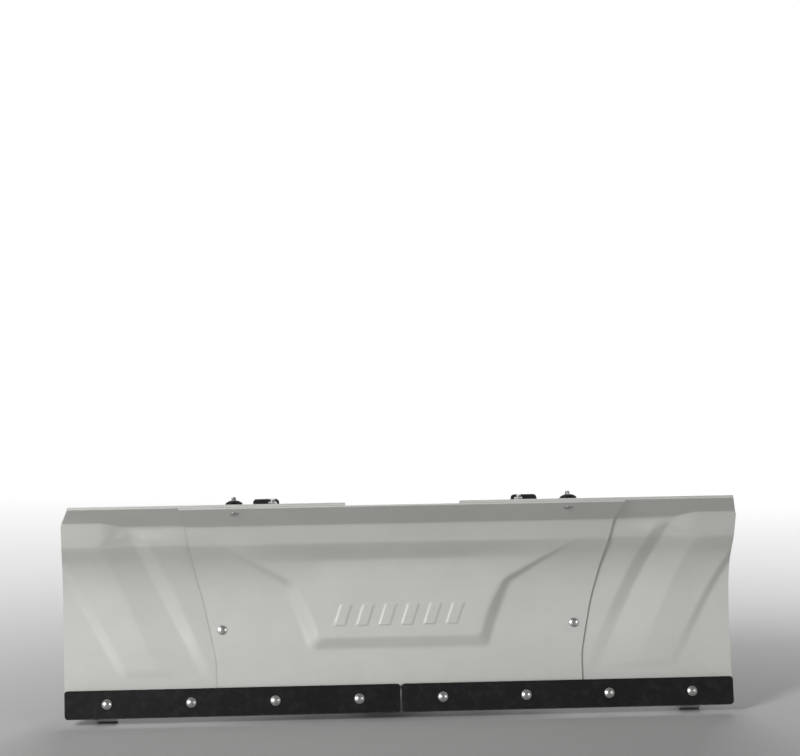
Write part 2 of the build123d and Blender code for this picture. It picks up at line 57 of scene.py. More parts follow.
bodyOfNode = {n: body for body, members in frame["record"]["behaviour"]["bodies"].items() for n in members}
slotOfNode = {row["node"]: row["material_slot"] for row in frame["record"]["subparts"]}

# Side profile of the mouldboard: forward and up in millimetres, leans in degrees from upright
board = {
    "waist": 223.0,
    "lowRadius": 209.0,
    "lowLean": 20.0,
    "highRadius": 130.0,
    "highLean": 37.0,
    "bandFoot": 326.0,
    "bandLean": 24.0,
    "fold": 365.5,
    "lipLean": 52.7,
    "lipLength": 71.5,
    "bendHalf": 5.0,       # half the length of a bend, along the sheet
    "step": 0.5,           # between the points that stand for the curve
    "reach": 260.0,        # how far they go each way from the waist
    "sheet": 3.0,
    "slideGap": 0.4,
    "wingFoot": 22.0,
    "panelFoot": 53.0,
    "mitre": 13.0,
}
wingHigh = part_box("right_wing_panel")[1]
halfWidth = wingHigh.x / mm
waistY = wingHigh.y / mm - board["sheet"]       # Y of the wing sheets' front at the waist


def clamp(t):
    return max(0.0, min(1.0, t))


def mix(a, b, t):
    return a + (b - a) * t


def softStep(a, b, t):
    t = clamp((t - a) / (b - a))
    return t * t * (3 - 2 * t)


def softMax(a, b, r):
    h = clamp(0.5 + 0.5 * (a - b) / r)
    return mix(b, a, h) + r * h * (1 - h) * 0.5


def softMin(a, b, r):
    return -softMax(-a, -b, r)


def alongTable(x, table):
    # straight lines between (x, value) pairs
    for (x0, y0), (x1, y1) in zip(table, table[1:]):
        if x <= x1:
            return mix(y0, y1, clamp((x - x0) / (x1 - x0)))
    return table[-1][1]


def leanAt(s):
    # lean of the sheet at a distance along it from the waist, in radians
    lowEnd = -board["lowRadius"] * math.radians(board["lowLean"])
    highEnd = board["highRadius"] * math.radians(board["highLean"])
    if s < 0:
        return max(s, lowEnd) / board["lowRadius"]
    if s < highEnd:
        return s / board["highRadius"]
    half = board["bendHalf"]
    toBand = softStep(bandAt - half, bandAt + half, s)
    toLip = softStep(foldAt - half, foldAt + half, s)
    lean = mix(board["highLean"], board["bandLean"], toBand)
    return math.radians(mix(lean, board["lipLean"], toLip))


def buildProfile():
    # points at every step along the sheet, as (s, forward, up, lean)
    step = board["step"]
    up, down = [(0.0, 0.0, board["waist"], 0.0)], []
    for sign, rows in ((1, up), (-1, down)):
        s, f, z = 0.0, 0.0, board["waist"]
        while abs(s) < board["reach"]:
            lean = leanAt(s + sign * step / 2)
            s += sign * step
            f += sign * step * math.sin(lean)
            z += sign * step * math.cos(lean)
            rows.append((s, f, z, leanAt(s)))
    return down[::-1] + up


highTop = board["waist"] + board["highRadius"] * math.sin(math.radians(board["highLean"]))
highAt = board["highRadius"] * math.radians(board["highLean"])
bandAt = highAt + (board["bandFoot"] - highTop) / math.cos(math.radians(board["highLean"]))
foldAt = bandAt + (board["fold"] - board["bandFoot"]) / math.cos(math.radians(board["bandLean"]))
rimAt = foldAt + board["lipLength"]
profile = buildProfile()


def onProfile(s, offset=0.0):
    # forward, up and lean at a distance along the sheet, offset in front of the wing sheets
    i = (s - profile[0][0]) / board["step"]
    k = max(0, min(len(profile) - 2, int(i)))
    a, b = profile[k], profile[k + 1]
    f, z, lean = (mix(a[n], b[n], i - k) for n in (1, 2, 3))
    return f + offset * math.cos(lean), z - offset * math.sin(lean), lean


def alongAt(z):
    # distance along the sheet at which it is z high
    low, high = 0, len(profile) - 1
    while high - low > 1:
        middle = (low + high) // 2
        if profile[middle][2] < z:
            low = middle
        else:
            high = middle
    a, b = profile[low], profile[high]
    return mix(a[0], b[0], clamp((z - a[2]) / (b[2] - a[2])))


def forwardAt(z):
    return onProfile(alongAt(z))[0]


def place(x, f, z):
    # a point in metres from millimetres across, forward and up
    return Vector((x * mm, (waistY - f) * mm, z * mm))


# Small helpers on Blender's tools

def deselectAll():
    bpy.ops.object.select_all(action="DESELECT")


def only(piece):
    deselectAll()
    piece.select_set(True)
    bpy.context.view_layer.objects.active = piece
    return piece


def added(name):
    piece = bpy.context.object
    piece.name = name
    return piece


def edit(piece, *steps):
    # runs edit-mode operators on everything in the piece
    only(piece)
    bpy.ops.object.mode_set(mode="EDIT")
    bpy.ops.mesh.select_all(action="SELECT")
    for step in steps:
        step()
    bpy.ops.object.mode_set(mode="OBJECT")
    return piece


def modify(piece, kind, **settings):
    only(piece)
    modifier = piece.modifiers.new(kind.title(), kind)
    for key, value in settings.items():
        setattr(modifier, key, value)
    bpy.ops.object.modifier_apply(modifier=modifier.name)
    return piece


def smooth(piece, angle=35):
    only(piece)
    bpy.ops.object.shade_smooth_by_angle(angle=math.radians(angle))
    return piece


def settle(piece):
    # puts the piece's place into its mesh
    only(piece)
    bpy.ops.object.transform_apply(location=True, rotation=True, scale=True)
    return piece


def joined(name, pieces):
    deselectAll()
    for piece in pieces:
        piece.select_set(True)
    bpy.context.view_layer.objects.active = pieces[0]
    if len(pieces) > 1:
        bpy.ops.object.join()
    return added(name)


def closeUp():
    bpy.ops.mesh.remove_doubles(threshold=0.00002)
    bpy.ops.mesh.normals_make_consistent(inside=False)


def copied(piece, name):
    twin = bpy.data.objects.new(name, piece.data.copy())
    bpy.context.scene.collection.objects.link(twin)
    return twin


def mirroredCopy(piece, name):
    twin = copied(piece, name)
    twin.scale.x = -1
    settle(twin)
    return edit(twin, lambda: bpy.ops.mesh.normals_make_consistent(inside=False))


def tubeAlong(name, points, radius, sides):
    # a wire or bead along points in metres
    data = bpy.data.curves.new(name, "CURVE")
    data.dimensions = "3D"
    data.bevel_depth = radius
    data.bevel_resolution = max(1, sides // 4)
    data.use_fill_caps = True
    spline = data.splines.new("POLY")
    spline.points.add(len(points) - 1)
    for slot, point in zip(spline.points, points):
        slot.co = (*point, 1)
    piece = bpy.data.objects.new(name, data)
    bpy.context.scene.collection.objects.link(piece)
    only(piece)
    bpy.ops.object.convert(target="MESH")
    return bpy.context.object


finished = []


def finish(piece, body, look, *replaced):
    # gives a piece its material and body, hides the parts it replaces and adds it to the finished pieces
    piece.data.materials.clear()
    piece.data.materials.append(looks[look])
    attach(piece, body)
    if replaced:
        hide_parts(*replaced)
    finished.append(piece.name)
    return piece


# Materials: the effects they share come first, as node groups

def makeGroup(name, inputs, outputs):
    group = bpy.data.node_groups.new(name, "ShaderNodeTree")
    for label, kind, value in inputs:
        socket = group.interface.new_socket(name=label, in_out="INPUT", socket_type="NodeSocket" + kind)
        if value is not None:
            socket.default_value = value
    for label, kind in outputs:
        group.interface.new_socket(name=label, in_out="OUTPUT", socket_type="NodeSocket" + kind)
    return group, group.nodes.new("NodeGroupInput"), group.nodes.new("NodeGroupOutput")


def addNode(tree, kind, links=(), **settings):
    # a node with its settings; links are (input name or number, source socket or value)
    node = tree.nodes.new("ShaderNode" + kind)
    for key, value in settings.items():
        setattr(node, key, value)
    for key, source in links:
        if isinstance(source, bpy.types.NodeSocket):
            tree.links.new(source, node.inputs[key])
        else:
            node.inputs[key].default_value = source
    return node


def noise(tree, vector, scale, detail=3.0, rough=0.5):
    return addNode(tree, "TexNoise", [("Vector", vector), ("Scale", scale), ("Detail", detail),
                                      ("Roughness", rough)]).outputs["Fac"]


def ramp(tree, value, low, high, toLow=0.0, toHigh=1.0):
    return addNode(tree, "MapRange", [("Value", value), ("From Min", low), ("From Max", high),
                                      ("To Min", toLow), ("To Max", toHigh)],
                   interpolation_type="SMOOTHSTEP").outputs["Result"]


def times(tree, a, b):
    return addNode(tree, "Math", [(0, a), (1, b)], operation="MULTIPLY").outputs[0]


def plus(tree, a, b):
    return addNode(tree, "Math", [(0, a), (1, b)], operation="ADD").outputs[0]


def colourMix(tree, mask, a, b):
    # Mix has one A and one B for each kind of value, so the colour ones are picked by number
    node = tree.nodes.new("ShaderNodeMix")
    node.data_type = "RGBA"
    for index, source in ((0, mask), (6, a), (7, b)):
        if isinstance(source, bpy.types.NodeSocket):
            tree.links.new(source, node.inputs[index])
        else:
            node.inputs[index].default_value = source
    return node.outputs[2]


def paintGrainGroup():
    # orange peel height and slow shade changes of a sprayed or powder-coated surface
    group, enter, leave = makeGroup("paintGrain", [("Vector", "Vector", None), ("Peel", "Float", 900.0),
                                                   ("Mottle", "Float", 9.0)],
                                    [("Height", "Float"), ("Shade", "Float")])
    fine = noise(group, enter.outputs["Vector"], enter.outputs["Peel"], 2.0)
    coarse = noise(group, enter.outputs["Vector"], enter.outputs["Mottle"], 4.0, 0.6)
    group.links.new(fine, leave.inputs["Height"])
    group.links.new(coarse, leave.inputs["Shade"])
    return group


def dustGroup():
    # mask of dried spray and dust, strongest near the ground
    group, enter, leave = makeGroup("groundDust", [("Vector", "Vector", None), ("Top", "Float", 0.2),
                                                   ("Amount", "Float", 0.5)], [("Mask", "Float")])
    height = addNode(group, "SeparateXYZ", [("Vector", enter.outputs["Vector"])]).outputs["Z"]
    low = addNode(group, "MapRange", [("Value", height), ("From Min", 0.0), ("From Max", enter.outputs["Top"]),
                                      ("To Min", 1.0), ("To Max", 0.0)]).outputs["Result"]
    specks = ramp(group, noise(group, enter.outputs["Vector"], 55.0, 6.0, 0.7), 0.45, 0.75)
    mask = times(group, times(group, low, specks), enter.outputs["Amount"])
    group.links.new(mask, leave.inputs["Mask"])
    return group


def scratchGroup():
    # mask of fine scratches along X, broken up so that they don't run right through
    group, enter, leave = makeGroup("fineScratches", [("Vector", "Vector", None), ("Scale", "Float", 60.0),
                                                      ("Stretch", "Vector", (0.04, 1.0, 1.0))],
                                    [("Mask", "Float")])
    stretched = addNode(group, "VectorMath", [(0, enter.outputs["Vector"]), (1, enter.outputs["Stretch"])],
                        operation="MULTIPLY").outputs[0]
    lines = ramp(group, noise(group, stretched, enter.outputs["Scale"], 5.0, 0.7), 0.6, 0.72)
    broken = ramp(group, noise(group, enter.outputs["Vector"], 12.0, 2.0), 0.42, 0.6)
    group.links.new(times(group, lines, broken), leave.inputs["Mask"])
    return group


def edgeGroup():
    # mask of paint rubbed thin along edges, where a rounded normal leaves the true one
    group, enter, leave = makeGroup("edgeRub", [("Vector", "Vector", None), ("Breakup", "Float", 120.0)],
                                    [("Mask", "Float")])
    rounded = addNode(group, "Bevel", [("Radius", 0.0016)]).outputs["Normal"]
    flat = addNode(group, "NewGeometry").outputs["True Normal"]
    facing = addNode(group, "VectorMath", [(0, rounded), (1, flat)], operation="DOT_PRODUCT").outputs["Value"]
    edge = addNode(group, "MapRange", [("Value", facing), ("From Min", 0.985),
                                       ("From Max", 0.93)]).outputs["Result"]
    patches = ramp(group, noise(group, enter.outputs["Vector"], enter.outputs["Breakup"], 4.0, 0.65), 0.4, 0.62)
    group.links.new(times(group, edge, patches), leave.inputs["Mask"])
    return group


def seamShadeGroup():
    # painted shade: mask that darkens seams and around bolt heads where ambient occlusion finds them closed in,
    # broken up by noise
    group, enter, leave = makeGroup("seamGrime", [("Vector", "Vector", None), ("Reach", "Float", 0.006)],
                                    [("Mask", "Float")])
    nook = addNode(group, "AmbientOcclusion", [("Distance", enter.outputs["Reach"])], samples=6).outputs["AO"]
    shadeStrength = ramp(group, noise(group, enter.outputs["Vector"], 35.0, 3.0), 0.2, 0.6, 0.6, 1.0)
    closed = addNode(group, "MapRange", [("Value", nook), ("From Min", 0.8),
                                         ("From Max", 0.35)]).outputs["Result"]
    group.links.new(times(group, closed, shadeStrength), leave.inputs["Mask"])
    return group


groups = {
    "crevice": seamShadeGroup(),
    "grain": paintGrainGroup(),
    "dust": dustGroup(),
    "scratch": scratchGroup(),
    "edge": edgeGroup(),
}


def useGroup(tree, name, vector, **values):
    node = tree.nodes.new("ShaderNodeGroup")
    node.node_tree = groups[name]
    tree.links.new(vector, node.inputs["Vector"])
    for key, value in values.items():
        node.inputs[key].default_value = value
    return node


def startLook(name):
    look = bpy.data.materials.new(name)
    look.use_nodes = True
    tree = look.node_tree
    vector = tree.nodes.new("ShaderNodeTexCoord").outputs["Object"]
    return look, tree, tree.nodes["Principled BSDF"], vector


def bump(tree, shader, height, strength, distance):
    node = addNode(tree, "Bump", [("Height", height), ("Strength", strength), ("Distance", distance)])
    tree.links.new(node.outputs["Normal"], shader.inputs["Normal"])


def paintLook(name, colour, darker, rough, peel, bumpHeight, dust, dustColour, metalEdge, shine=0.5):
    # a sprayed finish: grain, mottle, dust low down, painted shade in seams and edges rubbed to the metal
    look, tree, shader, vector = startLook(name)
    grain = useGroup(tree, "grain", vector, Peel=peel)
    shade = colourMix(tree, ramp(tree, grain.outputs["Shade"], 0.3, 0.7), colour, darker)
    dustMask = useGroup(tree, "dust", vector, Amount=dust).outputs["Mask"]
    dustAndShade = colourMix(tree, dustMask, shade, dustColour)
    # painted shade: seams and bolt head rims are mixed toward 0.35 of the paint colour where occlusion closes them
    # in
    shadeStrength = times(tree, useGroup(tree, "crevice", vector).outputs["Mask"], 0.7)
    dustAndShade = colourMix(tree, shadeStrength, dustAndShade, tuple(c * 0.35 for c in colour[:3]) + (1,))
    edgeMask = useGroup(tree, "edge", vector).outputs["Mask"]
    edgeMask = times(tree, edgeMask, metalEdge)
    tree.links.new(colourMix(tree, edgeMask, dustAndShade, (0.42, 0.41, 0.4, 1)), shader.inputs["Base Color"])
    tree.links.new(times(tree, edgeMask, 0.8), shader.inputs["Metallic"])
    roughness = plus(tree, ramp(tree, grain.outputs["Shade"], 0.25, 0.75, rough - 0.04, rough + 0.04),
                     times(tree, dustMask, 0.3))
    tree.links.new(roughness, shader.inputs["Roughness"])
    shader.inputs["Specular IOR Level"].default_value = shine
    bump(tree, shader, grain.outputs["Height"], 0.35, bumpHeight)
    return look


def metalLook(name, colour, darker, rough, scratch, metallic=1.0):
    # plated or bare metal: patchy plating, fine scratches and a little grain
    look, tree, shader, vector = startLook(name)
    grain = useGroup(tree, "grain", vector, Peel=1600.0, Mottle=60.0)
    shade = colourMix(tree, ramp(tree, grain.outputs["Shade"], 0.3, 0.7), colour, darker)
    lines = useGroup(tree, "scratch", vector, Scale=scratch, Stretch=(0.08, 1.0, 1.0)).outputs["Mask"]
    brighter = tuple(min(1.0, c * 1.35) for c in colour[:3]) + (1,)
    tree.links.new(colourMix(tree, lines, shade, brighter), shader.inputs["Base Color"])
    shader.inputs["Metallic"].default_value = metallic
    roughness = plus(tree, ramp(tree, grain.outputs["Shade"], 0.25, 0.75, rough - 0.06, rough + 0.1),
                     times(tree, lines, 0.15))
    tree.links.new(roughness, shader.inputs["Roughness"])
    bump(tree, shader, plus(tree, grain.outputs["Height"], times(tree, lines, -2.0)), 0.25, 0.00012)
    return look


def plasticLook(name, colour, rough, peel, depth):
    # moulded plastic or rubber with a fine grain
    look, tree, shader, vector = startLook(name)
    grain = useGroup(tree, "grain", vector, Peel=peel, Mottle=40.0)
    lighter = tuple(c * 1.8 + 0.004 for c in colour[:3]) + (1,)
    shade = colourMix(tree, ramp(tree, grain.outputs["Shade"], 0.35, 0.7), colour, lighter)
    tree.links.new(shade, shader.inputs["Base Color"])
    tree.links.new(ramp(tree, grain.outputs["Shade"], 0.3, 0.7, rough - 0.07, rough + 0.07),
                   shader.inputs["Roughness"])
    bump(tree, shader, grain.outputs["Height"], 0.5, depth)
    return look


dustTone = (0.5, 0.48, 0.44, 1)
looks = {
    "panel_paint": paintLook("panelPaint", (0.575, 0.577, 0.549, 1), (0.545, 0.547, 0.519, 1), 0.42, 700.0,
                             0.00025, 0.16, (0.42, 0.40, 0.36, 1), 0.2),
    "frame_paint": paintLook("framePaint", (0.022, 0.022, 0.024, 1), (0.026, 0.026, 0.028, 1), 0.4, 900.0,
                             0.0003, 0.03, dustTone, 0.4, 0.4),
    "bar_paint": paintLook("barPaint", (0.005, 0.005, 0.0052, 1), (0.007, 0.007, 0.0073, 1), 0.5, 700.0,
                           0.0004, 0.03, dustTone, 0.35, 0.22),
    "zinc": metalLook("zincPlate", (0.6, 0.6, 0.59, 1), (0.47, 0.47, 0.46, 1), 0.3, 90.0),
    "shoe_steel": metalLook("shoeSteel", (0.74, 0.74, 0.73, 1), (0.6, 0.6, 0.59, 1), 0.46, 40.0, 0.2),
    "spring_steel": metalLook("springSteel", (0.05, 0.05, 0.052, 1), (0.035, 0.035, 0.036, 1), 0.34, 80.0, 0.6),
    "knob_plastic": plasticLook("knobPlastic", (0.017, 0.017, 0.018, 1), 0.42, 1400.0, 0.00025),
    "rubber": plasticLook("bumperRubber", (0.02, 0.02, 0.02, 1), 0.7, 1100.0, 0.0004),
}
print("materials made")

# Mouldboard sheets
centre = {
    "halfWidths": [(0, 333), (108, 333), (205, 353), (252, 365), (300, 376), (338, 383), (371.5, 389), (409, 402),
                   (500, 402)],    # height and half width of the panel
    "foot": 124.0,             # lower edge of the raised face's wall
    "footHalf": 163.0,         # half the width there
    "elbow": (205.0, 238.0),   # where the side wall turns outward
    "armTip": (327.0, 324.0),  # where the wall runs out under the band
    "rises": [(145, 14.0), (165, 14.5), (190, 14.5), (215, 13.0), (238, 10.5), (262, 5.5), (288, -1.5),
              (330, 0.5)],         # height and how far the face stands forward
    "armRise": 10.0,           # at the elbow, and less toward the tip
    "shadowTop": (222.0, 330.0),    # facet under the band, half width and height
    "shadowFoot": (131.0, 288.0),
    "wallSlope": 1.6,          # width of a wall for each millimetre that it rises
    "motif": {"count": 6, "pitch": 41.0, "width": 23.0, "low": 166.0, "high": 206.0, "slant": 0.35, "rise": 1.8,
              "edge": 3.0},
}


def motifRise(x, z):
    # a row of slanting bars in the middle of the raised face
    m = centre["motif"]
    across = x - (z - (m["low"] + m["high"]) / 2) * m["slant"] + m["pitch"] * m["count"] / 2
    if not 0 <= across < m["pitch"] * m["count"]:
        return 0.0
    fromMiddle = abs(across % m["pitch"] - m["pitch"] / 2)
    side = 1 - softStep(m["width"] / 2 - m["edge"], m["width"] / 2, fromMiddle)
    ends = softStep(m["low"], m["low"] + m["edge"], z) * (1 - softStep(m["high"] - m["edge"], m["high"], z))
    return m["rise"] * side * ends


def centreRise(x, z):
    # how far the centre panel's pressing stands forward
    x = abs(x)
    elbowX, elbowZ = centre["elbow"]
    tipX, tipZ = centre["armTip"]
    topX, topZ = centre["shadowTop"]
    footX, footZ = centre["shadowFoot"]
    if z > topZ:
        return 0.0
    inner = alongTable(z, centre["rises"])
    if z > footZ:
        innerEdge = mix(footX, topX, (z - footZ) / (topZ - footZ))
    else:
        innerEdge = mix(elbowX - 18, footX, clamp((z - elbowZ) / (footZ - elbowZ)))
    outerEdge = mix(elbowX, tipX, (z - elbowZ) / (tipZ - elbowZ))
    raised = inner
    if z > elbowZ:
        arm = centre["armRise"] * (tipZ + 2 - z) / (tipZ + 2 - elbowZ)
        raised = mix(inner, max(0.0, arm), clamp((x - innerEdge) / max(1.0, outerEdge - innerEdge)))
    armRun = (tipX - elbowX, tipZ - elbowZ)
    sideRun = (elbowX - centre["footHalf"], elbowZ - centre["foot"])
    fromArm = ((z - elbowZ) * armRun[0] - (x - elbowX) * armRun[1]) / math.hypot(*armRun)
    fromSide = (z - centre["foot"]) * sideRun[0] - (x - centre["footHalf"]) * sideRun[1]
    fromSide /= math.hypot(*sideRun)
    inside = softMin(softMax(fromArm, fromSide, 10.0), z - centre["foot"], 14.0)
    return raised * clamp(inside / max(5.0, centre["wallSlope"] * raised))


wing = {
    "innerTop": 103.0,
    "innerFoot": 2.0,
    "bandRise": 9.0,           # raised band at the outer end
    "bandInner": (492.0, 540.0),
    "bandFoot": 332.0,
    "apex": (497.0, 356.0),
    "ridge": ((456.0, 129.0), (545.0, 332.0)),
    "innerFootLine": ((361.0, 81.0), (488.0, 350.0)),
    "innerTopLine": ((344.0, 85.0), (460.0, 343.0)),
    "outerTopLine": ((496.0, 92.0), (606.0, 290.0)),
    "outerFootLine": ((511.0, 84.0), (605.0, 262.0)),
    "innerRise": 4.6,          # top of the inner wall, above the plain sheet
    "innerDip": 2.6,           # its foot, below the plain sheet
    "fade": (77.0, 97.0),
    "slowFade": (84.0, 170.0),     # the pressing gets shallower toward its foot
    "footShare": 0.42,
}


def lineX(line, z):
    (x0, z0), (x1, z1) = line
    return x0 + (z - z0) * (x1 - x0) / (z1 - z0)


def wingRise(x, z):
    # how far the right wing's pressing stands forward of the plain sheet
    seam = alongTable(z, centre["halfWidths"])
    if x < seam + 2:
        return 0.0
    band = wing["bandRise"] * softStep(*wing["bandInner"], x)
    footX = lineX(wing["innerFootLine"], z) + 5 * math.sin(math.pi * clamp((z - 81) / 270))
    topX = lineX(wing["innerTopLine"], z)
    room = clamp((topX - seam) / 50.0)
    innerTop = wing["innerRise"] * (0.25 + 0.75 * room) * (1 - softStep(338, 362, z))
    apexX, apexZ = wing["apex"]
    if z < wing["bandFoot"]:
        ridgeX, ridge = lineX(wing["ridge"], z), wing["bandRise"]
    else:
        ridgeX = mix(lineX(wing["ridge"], wing["bandFoot"]), apexX,
                     clamp((z - wing["bandFoot"]) / (apexZ - wing["bandFoot"])))
        ridge = wing["bandRise"] * softStep(*wing["bandInner"], ridgeX)
    dip = -wing["innerDip"] * (0.3 + 0.7 * room) * (1 - softStep(335, 356, z))
    if x <= topX:
        rise = innerTop * clamp((x - seam - 2) / max(4.0, topX - seam - 2))
    elif x <= footX:
        rise = mix(innerTop, dip, (x - topX) / (footX - topX))
    elif x <= ridgeX:
        rise = mix(dip, ridge, (x - footX) / max(1.0, ridgeX - footX))
    else:
        sag = 2.2 * (1 - softStep(290, 332, z))
        rise = band if z > wing["bandFoot"] else wing["bandRise"] - sag * clamp((x - ridgeX) / 60)
        outerTop, outerFoot = lineX(wing["outerTopLine"], z), lineX(wing["outerFootLine"], z)
        rise *= 1 - clamp((x - outerTop) / (outerFoot - outerTop))
    return rise * softStep(*wing["fade"], z) * mix(wing["footShare"], 1.0, softStep(*wing["slowFade"], z))


def softened(rise, x, z, reach=3.2):
    # the pressing with its corners rounded, as an average of nearby heights
    around = ((0, 0, 2), (-reach, 0, 1), (reach, 0, 1), (0, -reach, 1), (0, reach, 1),
              (-reach * 0.7, -reach * 0.7, 1), (reach * 0.7, reach * 0.7, 1),
              (-reach * 0.7, reach * 0.7, 1), (reach * 0.7, -reach * 0.7, 1))
    return sum(weight * rise(x + dx, z + dz) for dx, dz, weight in around) / 10


def spread(zones):
    # positions from (start, end, step) zones
    places = [zones[0][0]]
    for start, end, step in zones:
        count = max(1, round((end - start) / step))
        places += [mix(start, end, (i + 1) / count) for i in range(count)]
    return places


def sheetPiece(name, columns, rows, offset, edges, rise):
    # a grid shaped into a bent sheet: columns run across, rows run up along the profile
    bpy.ops.mesh.primitive_grid_add(x_subdivisions=len(columns) - 1, y_subdivisions=len(rows) - 1, size=1)
    piece = added(name)
    lastColumn, lastRow = len(columns) - 1, len(rows) - 1
    for vertex in piece.data.vertices:
        column = round((vertex.co.x + 0.5) * lastColumn)
        row = round((vertex.co.y + 0.5) * lastRow)
        f, z, lean = onProfile(rows[row], offset)
        low, high = edges(z)
        x = mix(low, high, (columns[column] - columns[0]) / (columns[-1] - columns[0]))
        pressed = rise(x, z)
        if pressed:
            plain = f
            f = f + pressed
            if pressed > 0 and rows[row] > foldAt - board["bendHalf"]:
                # the pressing runs straight up to the lip, and ends where it meets it
                bandF, bandZ = onProfile(bandAt + 12, offset)[:2]
                f = max(plain, bandF + (z - bandZ) * math.tan(math.radians(board["bandLean"])) + pressed)
        vertex.co = place(x, f, z)
    modify(piece, "SOLIDIFY", thickness=board["sheet"] * mm, offset=-1, use_even_offset=True)
    return piece


def slotCutter(x, along, length, width):
    # rounded slot through the sheet, square to it
    bpy.ops.mesh.primitive_cylinder_add(vertices=32, radius=width / 2 * mm, depth=30 * mm)
    cutter = added("slotCutter")
    for vertex in cutter.data.vertices:
        vertex.co.x += math.copysign((length - width) / 2 * mm, vertex.co.x) if abs(vertex.co.x) > 1e-6 else 0
    f, z, lean = onProfile(along)
    normal = Vector((0, -math.cos(lean), -math.sin(lean)))
    cutter.matrix_world = Matrix.Translation(place(x, f, z)) @ Matrix((
        (1, 0, 0), (0, normal.z, normal.y), (0, -normal.y, normal.z))).to_4x4()
    bpy.context.view_layer.update()
    return cutter


slots = {"travel": 152.0, "width": 9.5, "faceX": 322.0, "faceZ": 160.0, "lipX": 300.0, "lipAlong": 50.0}


def centreEdges(z):
    half = sum(alongTable(z + d, centre["halfWidths"]) for d in (-9, 0, 9)) / 3
    return -half, half


def wingEdges(z):
    up = clamp((z - board["wingFoot"]) / (rimZ - board["wingFoot"]))
    inner = mix(wing["innerFoot"], wing["innerTop"], up)
    outer = halfWidth - board["mitre"] * clamp((z - foldZ) / (rimZ - foldZ))
    return inner, outer


rimZ = onProfile(rimAt)[1]
foldZ = board["fold"] + 4


def rimHem():
    # the wing's rim folded back flat on itself
    bpy.ops.mesh.primitive_cube_add(size=1)
    hem = added("rimHem")
    for vertex in hem.data.vertices:
        s = rimAt + (0.0 if vertex.co.z > 0 else -7.0)
        thick = board["sheet"] * (-1.0 if vertex.co.y < 0 else -1.95)
        f, z, lean = onProfile(s, thick)
        low, high = wingEdges(onProfile(s)[1])
        vertex.co = place(low if vertex.co.x < 0 else high, f, z)
    edit(hem, closeUp)
    return modify(hem, "BEVEL", width=1.2 * mm, segments=3, limit_method="ANGLE")


def makeSheets():
    columns = spread([(-389, -130, 4.3), (-130, 130, 2.2), (130, 389, 4.3)])
    footAt = alongAt(board["panelFoot"])
    rows = spread([(footAt, -66, 3.4), (-66, -10, 2.0), (-10, rimAt, 3.4)])
    rise = lambda x, z: softened(centreRise, x, z) + motifRise(x, z)
    piece = sheetPiece("centrePanel", columns, rows, board["slideGap"] + board["sheet"], centreEdges, rise)
    finish(smooth(piece), "blade", "panel_paint", "centre_panel")
    columns = spread([(wing["innerFoot"], 330, 12), (330, halfWidth, 3.2)])
    rows = spread([(alongAt(board["wingFoot"]), rimAt, 3.3)])
    piece = sheetPiece("rightWingSheet", columns, rows, 0.0, wingEdges, lambda x, z: softened(wingRise, x, z))
    for x, along in ((slots["faceX"], alongAt(slots["faceZ"])), (slots["lipX"], foldAt + slots["lipAlong"])):
        length = slots["travel"] + slots["width"] + 2
        cutter = slotCutter(x - slots["travel"] / 2, along, length, slots["width"])
        modify(piece, "BOOLEAN", operation="DIFFERENCE", object=cutter, solver="EXACT")
        bpy.data.objects.remove(cutter)
    hem = rimHem()
    piece = joined("rightWingSheet", [piece, hem])
    left = mirroredCopy(piece, "leftWingSheet")
    finish(smooth(piece), "right_wing", "panel_paint", "right_wing_panel")
    finish(smooth(left), "left_wing", "panel_paint", "left_wing_panel")


makeSheets()
print("mouldboard sheets made")

# Steel parts taken from the frame, with their edges broken by these widths
edges = {
    "panel_paint": 0.8,
    "frame_paint": 0.9,
    "bar_paint": 1.1,
    "zinc": 0.4,
    "shoe_steel": 0.8,
    "knob_plastic": 0.8,
    "rubber": 1.6,
}


def brokenEdges(node, width):
    piece = copied(nodes[node], "".join(part.title() if i else part for i, part in enumerate(node.split("_"))))
    edit(piece, lambda: bpy.ops.mesh.remove_doubles(threshold=0.00001),
         lambda: bpy.ops.mesh.dissolve_limited(angle_limit=math.radians(0.5)))
    modify(piece, "BEVEL", width=width * mm, segments=2, limit_method="ANGLE", angle_limit=math.radians(40),
           use_clamp_overlap=True, harden_normals=False)
    smooth(piece, 32)
    return modify(piece, "WEIGHTED_NORMAL", keep_sharp=True)


def followSheet(rib):
    # brings the rib's front edge forward where the wing sheet is pressed forward
    for vertex in rib.data.vertices:
        x, z = abs(vertex.co.x) / mm, vertex.co.z / mm
        back = (waistY - forwardAt(z) + board["sheet"]) * mm
        if abs(vertex.co.y - back) < 2 * mm:
            vertex.co.y -= softened(wingRise, x - 3, z) * mm


def makeFrameParts():
    madeApart = {"trip_spring", "wing_panel", "centre_panel"}
    for node in sorted(nodes):
        if any(word in node for word in madeApart):
            continue
        look = slotOfNode[node]
        piece = brokenEdges(node, edges[look])
        if "end_rib" in node:
            followSheet(piece)
        finish(piece, bodyOfNode[node], look, node)


makeFrameParts()
print("frame parts made")

spring = {"coilRadius": 15.4, "wire": 2.6, "turns": 23, "hookRadius": 9.0, "stepsPerTurn": 20, "hookSteps": 13,
          "gap": 0.1, "eyeSeat": 13.6}


